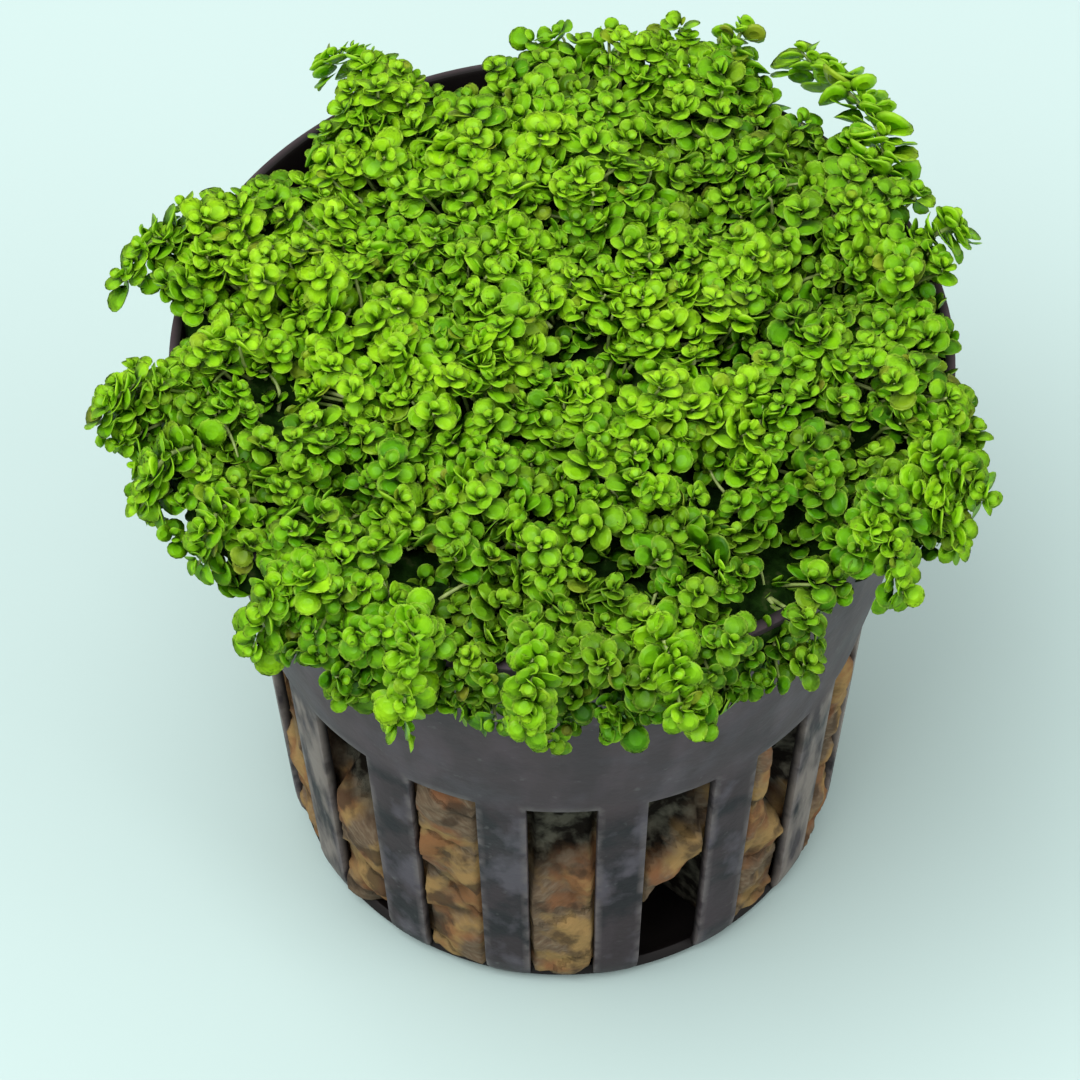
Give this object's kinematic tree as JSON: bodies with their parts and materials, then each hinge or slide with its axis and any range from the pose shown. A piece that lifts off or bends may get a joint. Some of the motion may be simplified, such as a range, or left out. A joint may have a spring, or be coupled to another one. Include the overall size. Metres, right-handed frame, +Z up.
{
  "type": "giant baby tears",
  "caption": "Low creeping water plant with tiny round leaves, a dense mat that spills over the rim of a tapered, slotted net pot holding its wool plug.",
  "frame": {"origin": "middle of the pot's flat underside, on the surface that it stands on", "axes": "+Z up the pot's axis; -Y the front of the picture; +X to the right of the picture"},
  "size_m": [0.0632, 0.0619, 0.055],
  "materials": {
    "pot": "dark grey moulded plastic, scuffed and dusty",
    "wool": "damp golden-brown mineral wool",
    "leaf": "living green leaves with a soft gloss",
    "young_leaf": "living yellow-green leaves with a soft gloss"
  },
  "bodies": {
    "root": {"net_pot": "pot", "rockwool_plug": "wool", "leaf_cushion": "leaf", "trailing_shoot_01": "young_leaf", "trailing_shoot_02": "young_leaf", "trailing_shoot_03": "young_leaf", "trailing_shoot_04": "young_leaf", "trailing_shoot_05": "young_leaf", "trailing_shoot_06": "young_leaf", "trailing_shoot_07": "young_leaf", "trailing_shoot_08": "young_leaf", "trailing_shoot_09": "young_leaf", "trailing_shoot_10": "young_leaf", "trailing_shoot_11": "young_leaf", "trailing_shoot_12": "young_leaf", "trailing_shoot_13": "young_leaf", "trailing_shoot_14": "young_leaf", "trailing_shoot_15": "young_leaf"}
  },
  "joints": []
}
